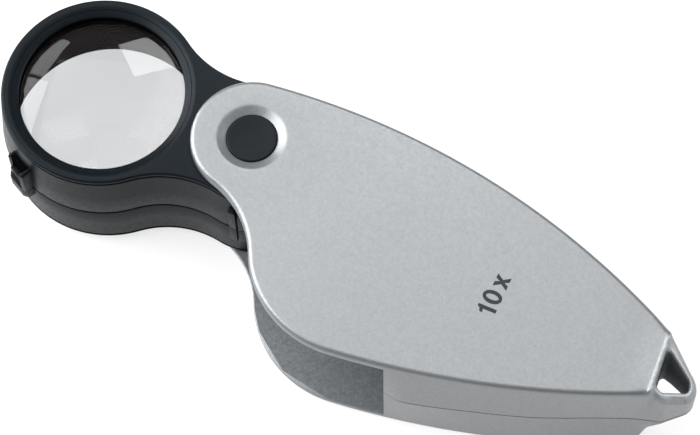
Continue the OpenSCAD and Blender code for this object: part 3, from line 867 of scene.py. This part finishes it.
class Shader:
    """A Principled material whose colour, roughness and relief come from procedural textures."""

    def __init__(self, name, rough, metallic=0.0, specular=0.5, coat=0.0, coat_rough=0.1):
        self.mat = bpy.data.materials.new(name)
        self.mat.use_nodes = True
        self.tree = self.mat.node_tree
        self.bsdf = self.tree.nodes["Principled BSDF"]
        self.bsdf.inputs["Roughness"].default_value = rough
        self.bsdf.inputs["Metallic"].default_value = metallic
        self.bsdf.inputs["Specular IOR Level"].default_value = specular
        self.bsdf.inputs["Coat Weight"].default_value = coat
        self.bsdf.inputs["Coat Roughness"].default_value = coat_rough
        self.coords = self.tree.nodes.new("ShaderNodeTexCoord").outputs["Object"]

    def node(self, kind, **values):
        made = self.tree.nodes.new(kind)
        for key, value in values.items():
            setattr(made, key, value)
        return made

    def noise(self, size_mm, detail=2.0, stretch=None):
        """Noise whose features are about size_mm across."""
        made = self.node("ShaderNodeTexNoise")
        made.inputs["Scale"].default_value = 1 / (size_mm * MM)
        made.inputs["Detail"].default_value = detail
        source = self.coords
        if stretch:
            mapping = self.node("ShaderNodeMapping")
            mapping.inputs["Scale"].default_value = stretch
            self.tree.links.new(source, mapping.inputs["Vector"])
            source = mapping.outputs["Vector"]
        self.tree.links.new(source, made.inputs["Vector"])
        return made.outputs["Fac"]

    def cells(self, size_mm):
        """A random value for each cell of about size_mm."""
        made = self.node("ShaderNodeTexVoronoi")
        made.inputs["Scale"].default_value = 1 / (size_mm * MM)
        self.tree.links.new(self.coords, made.inputs["Vector"])
        return made.outputs["Color"]

    def span(self, source, low, high):
        """A value from low to high as the noise goes through its usual range."""
        made = self.node("ShaderNodeMapRange")
        made.inputs["From Min"].default_value = NOISE_LOW
        made.inputs["From Max"].default_value = NOISE_HIGH
        made.inputs["To Min"].default_value = low
        made.inputs["To Max"].default_value = high
        self.tree.links.new(source, made.inputs["Value"])
        return made.outputs["Result"]

    def ramp(self, source, *stops):
        made = self.node("ShaderNodeValToRGB")
        ramp = made.color_ramp
        while len(ramp.elements) < len(stops):
            ramp.elements.new(0.5)
        for element, (at, colour) in zip(ramp.elements, stops):
            element.position = at
            element.color = (*colour, 1)
        self.tree.links.new(source, made.inputs["Fac"])
        return made.outputs["Color"]

    def tones(self, source, dark, light):
        """A colour from dark to light as the noise goes through its usual range."""
        return self.ramp(source, (NOISE_LOW, dark), (NOISE_HIGH, light))

    def multiply(self, a, b, amount):
        made = self.node("ShaderNodeMix", data_type="RGBA", blend_type="MULTIPLY")
        made.inputs["Factor"].default_value = amount
        self.tree.links.new(a, made.inputs["A"])
        self.tree.links.new(b, made.inputs["B"])
        return made.outputs["Result"]

    def relief(self, source, height_mm):
        made = self.node("ShaderNodeBump")
        made.inputs["Distance"].default_value = height_mm * MM
        made.inputs["Strength"].default_value = 1.0
        self.tree.links.new(source, made.inputs["Height"])
        self.tree.links.new(made.outputs["Normal"], self.bsdf.inputs["Normal"])

    def link(self, source, socket):
        self.tree.links.new(source, self.bsdf.inputs[socket])


def tints(colour, spread):
    """A darker and a lighter version of a colour."""
    return [tuple(min(1.0, c * (1 + s * spread)) for c in colour) for s in (-1, 1)]


def silver_paint():
    """The case's paint: silver with fine flakes."""
    s = Shader("silver_paint", 0.4, metallic=0.72, coat=0.12, coat_rough=0.25)
    dark, light = tints((0.208, 0.219, 0.227), 0.045)
    body = s.tones(s.noise(0.6, 3), dark, light)
    flakes = s.ramp(s.cells(0.2), (0.0, (0.8, 0.8, 0.8)), (1.0, (1.0, 1.0, 1.0)))
    s.link(s.multiply(body, flakes, 0.55), "Base Color")
    s.link(s.span(s.noise(0.35, 2), 0.36, 0.46), "Roughness")
    s.relief(s.noise(0.22, 3), 0.004)
    return s.mat


def inside_paint_with_painted_shade():
    """The same paint inside the case, rougher, and darker: the darkening is painted shade for the
    hollow between the plates.
    """
    s = Shader("inside_paint_painted_shade", 0.75, metallic=0.25, specular=0.2)
    dark, light = tints((0.160, 0.174, 0.184), 0.06)
    body = s.tones(s.noise(0.6, 3), dark, light)
    flakes = s.ramp(s.cells(0.3), (0.0, (0.62, 0.62, 0.62)), (1.0, (1.0, 1.0, 1.0)))
    s.link(s.multiply(body, flakes, 0.8), "Base Color")
    s.link(s.span(s.noise(0.35, 2), 0.65, 0.85), "Roughness")
    s.relief(s.noise(0.3, 3), 0.01)
    return s.mat


def black_plastic(name, colour, rough, specular, grain_mm):
    s = Shader(name, rough, specular=specular)
    s.bsdf.inputs["Specular Tint"].default_value = (0.82, 0.92, 1.0, 1.0)
    dark, light = tints(colour, 0.12)
    s.link(s.tones(s.noise(0.9, 4), dark, light), "Base Color")
    s.link(s.span(s.noise(0.5, 3), rough - 0.05, rough + 0.07), "Roughness")
    s.relief(s.noise(grain_mm, 2), 0.0012)
    return s.mat


def turned_metal(name, colour, rough):
    s = Shader(name, rough, metallic=1.0)
    dark, light = tints(colour, 0.1)
    rings = s.noise(0.5, 3, stretch=(0.15, 0.15, 6.0))
    s.link(s.tones(rings, dark, light), "Base Color")
    s.link(s.span(rings, rough - 0.08, rough + 0.1), "Roughness")
    s.relief(rings, 0.003)
    return s.mat


def coated_glass(name, reflecting):
    """Optical glass. A coated face reflects less than a bare one."""
    s = Shader(name, 0.0)
    s.bsdf.inputs["Specular Tint"].default_value = (reflecting, reflecting, reflecting, 1.0)
    s.bsdf.inputs["Transmission Weight"].default_value = 1.0
    s.bsdf.inputs["IOR"].default_value = 1.52
    dark, light = (0.875, 0.882, 0.888), (0.885, 0.892, 0.898)
    s.link(s.tones(s.noise(6.0, 1), dark, light), "Base Color")
    return s.mat


def printed_ink():
    s = Shader("printed_ink", 0.55, specular=0.3)
    dark, light = (0.006, 0.007, 0.009), (0.016, 0.017, 0.02)
    s.link(s.tones(s.noise(0.15, 2), dark, light), "Base Color")
    s.link(s.span(s.noise(0.3, 2), 0.5, 0.62), "Roughness")
    return s.mat


SILVER = silver_paint()
# a rougher, darker copy of the paint for the case's inside: its darkness is painted shade
INSIDE_PAINT_PAINTED_SHADE = inside_paint_with_painted_shade()
BLACK = black_plastic("satin_black", (0.0034, 0.0050, 0.0066), 0.36, 0.11, 0.3)
CAP_BLACK = black_plastic("cap_black_plastic", (0.0030, 0.0040, 0.0052), 0.42, 0.14, 0.25)
# near-black matte colour that is painted shade, for the catch's hollow and the rings' bores
PAINTED_SHADE_BLACK = black_plastic("painted_shade_black", (0.002, 0.002, 0.0025), 0.9, 0.0, 0.3)
TUBE = black_plastic("spacer_brown_black", (0.022, 0.014, 0.014), 0.8, 0.0, 0.4)
WASHER = black_plastic("washer_plastic", (0.02, 0.02, 0.02), 0.5, 0.4, 0.2)
STEEL = turned_metal("turned_steel", (0.56, 0.57, 0.58), 0.3)
BRONZE = turned_metal("turned_bronze", (0.62, 0.42, 0.2), 0.32)
GLASS, COATED_GLASS = coated_glass("lens_glass", 0.45), coated_glass("lens_glass_coated", 0.1)
INK = printed_ink()


def finish_piece(piece, mat):
    piece.data.materials.clear()
    piece.data.materials.append(mat)


for piece in (case_upper, case_lower):
    finish_piece(piece, SILVER)
finish_piece(mark, INK)
for piece in (head_upper, head_lower, upper_catch, lower_catch, upper_nub, lower_nub):
    finish_piece(piece, BLACK)
# the plate in the catch's hollow carries painted shade
finish_piece(catch_painted_shade_plate, PAINTED_SHADE_BLACK)
for piece in (upper_ring, lower_ring):
    finish_piece(piece, BLACK)
for piece in (upper_cap, lower_cap):
    finish_piece(piece, CAP_BLACK)
for piece in (upper_lens, lower_lens):
    finish_piece(piece, GLASS)
finish_piece(spacer, TUBE)


def dress(piece, mat, chosen):
    """Gives a second material to the faces that are chosen by their middle's distance from the
    lens axis and height from the seam, in millimetres."""
    piece.data.materials.append(mat)
    for face in piece.data.polygons:
        across = Vector((face.center.x - lens_axis.x, face.center.y - lens_axis.y)).length / MM
        if chosen(across, (face.center.z - SEAM_Z) / MM):
            face.material_index = 1


def give_inside_painted_shade(shell, mat):
    """Gives the shell's inside a second material, rougher and darker: the plate's underside, the
    walls' inner faces and the eye's bore. The darker colour is painted shade."""
    shell.data.materials.append(mat)
    faces = shell.data.polygons
    plan = np.array([tuple((f.center - pivot).xy) for f in faces]) / MM
    upward = np.array([f.normal.z for f in faces])
    depth = np.where(inside(plan, CASE_P), distance(plan, CASE_P), 0)
    height = (np.array([f.center.z for f in faces]) - SEAM_Z) / MM
    # faces that look away from the seam belong to the outside
    outward = upward * np.sign(height) > 0.2
    low = (np.abs(height) < PLATE_Z + 0.01) & ~outward
    in_hole = (distance(plan, HOLE_P) < 0.05) & (np.abs(upward) < 0.3)
    chosen = low & (depth > 0.6) & (plan[:, 0] < RIDGE_NEAR_X - 1.0) | in_hole
    faces.foreach_set("material_index", chosen.astype(int))


# only the top face of the upper lens is bare glass, and the rings' bores get near-black painted shade
dress(upper_lens, COATED_GLASS, lambda r, z: z < LENS_RIM_H - 0.5)
dress(lower_lens, COATED_GLASS, lambda r, z: True)
for piece in (upper_ring, lower_ring):
    dress(piece, PAINTED_SHADE_BLACK, lambda r, z: r < APERTURE_R + 0.02)

# the inside of each shell gets the paint darkened with painted shade
for piece in (case_upper, case_lower):
    give_inside_painted_shade(piece, INSIDE_PAINT_PAINTED_SHADE)

CAD_FINISH = {"pivot_sleeve": STEEL, "pivot_screw": STEEL, "pivot_nut": STEEL, "spring_washer": STEEL,
              "case_screws": STEEL, "head_screws": STEEL, "upper_friction_washer": WASHER,
              "lower_friction_washer": WASHER, "upper_hub_bush": BRONZE, "lower_hub_bush": BRONZE}
for node, mat in CAD_FINISH.items():
    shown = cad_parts[node]
    for place in shown.material_slots:
        place.material = mat
    if not shown.material_slots:
        shown.data.materials.append(mat)


# ---------------------------------------------------------------- camera, floor and lights
def make_camera():
    """The camera stands where the photograph was taken from, found from the plate's outline, the
    lens ring and the round cap. Its place is in millimetres from the pivot and the upper plate."""
    cam = bpy.data.cameras.new("camera")
    ob = bpy.data.objects.new("camera", cam)
    bpy.context.scene.collection.objects.link(ob)
    right = Vector((0.85831, 0.51299, -0.01226))
    down = Vector((0.47037, -0.79610, -0.38076))
    ahead = Vector((-0.20509, 0.32104, -0.92459))
    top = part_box("upper_shell")[1].z
    place = Vector((pivot.x + 101.174 * MM, pivot.y - 134.271 * MM, top + 376.875 * MM))
    ob.matrix_world = Matrix([(right[i], -down[i], -ahead[i], place[i]) for i in range(3)]
                             + [(0, 0, 0, 1)])
    cam.sensor_width = 36
    cam.lens = 156.4
    cam.clip_start = 0.01
    bpy.context.scene.camera = ob


def make_floor(glow, albedo):
    me = bpy.data.meshes.new("floor")
    half = 4
    corners = [(x * half, y * half, 0) for x, y in ((-1, -1), (1, -1), (1, 1), (-1, 1))]
    me.from_pydata(corners, [], [(0, 1, 2, 3)])
    ob = bpy.data.objects.new("floor", me)
    bpy.context.scene.collection.objects.link(ob)
    s = Shader("floor_white", 0.9, specular=0.0)
    s.link(s.tones(s.noise(300, 1), (albedo,) * 3, (albedo * 1.01,) * 3), "Base Color")
    s.bsdf.inputs["Emission Color"].default_value = (1, 1, 1, 1)
    s.bsdf.inputs["Emission Strength"].default_value = glow
    me.materials.append(s.mat)


SOFTBOX_M = 0.8


def softbox(name, azimuth, elevation, across, high, brightness, roll=0, aim=(0, 0, 0)):
    """Area light that faces the point aim. Its place, sizes and roll are in degrees, seen from
    there."""
    a, e, turn = (math.radians(v) for v in (azimuth, elevation, roll))
    out = Vector((math.cos(e) * math.cos(a), math.cos(e) * math.sin(a), math.sin(e)))
    along, rise = Vector((-math.sin(a), math.cos(a), 0)), Vector((0, 0, 1))
    rise = (rise - out * out.z).normalized()
    x_axis = along * math.cos(turn) + rise * math.sin(turn)
    y_axis = rise * math.cos(turn) - along * math.sin(turn)
    light = bpy.data.lights.new(name, "AREA")
    light.shape = "RECTANGLE"
    light.size, light.size_y = (2 * SOFTBOX_M * math.tan(math.radians(v) / 2) for v in (across, high))
    light.energy = brightness * math.pi * light.size * light.size_y
    ob = bpy.data.objects.new(name, light)
    bpy.context.scene.collection.objects.link(ob)
    at = Vector(aim) + out * SOFTBOX_M
    ob.matrix_world = Matrix([(x_axis[i], y_axis[i], out[i], at[i]) for i in range(3)] + [(0, 0, 0, 1)])
    ob.visible_camera = False


def make_world(brightness):
    world = bpy.data.worlds.new("studio")
    bpy.context.scene.world = world
    world.use_nodes = True
    background = world.node_tree.nodes["Background"]
    background.inputs["Color"].default_value = (1, 1, 1, 1)
    background.inputs["Strength"].default_value = brightness


make_camera()
make_floor(0.72, 0.3)
make_world(0.26)
softbox("overhead", 110, 79, 52, 46, 2.1)
softbox("front", 262, 48, 60, 36, 0.3)
softbox("right", 35, 12, 50, 34, 5.5)
softbox("left_high", 199, 46, 48, 30, 7.5)
softbox("left_low", 189, 16, 56, 28, 7.5)
softbox("back_left", 152.5, 44.3, 12.2, 12.0, 6.5, roll=30, aim=lens_axis)
softbox("back_right", 108.7, 51.3, 15.0, 11.5, 10.5, roll=34, aim=lens_axis)
bpy.context.scene.view_settings.view_transform = "Standard"
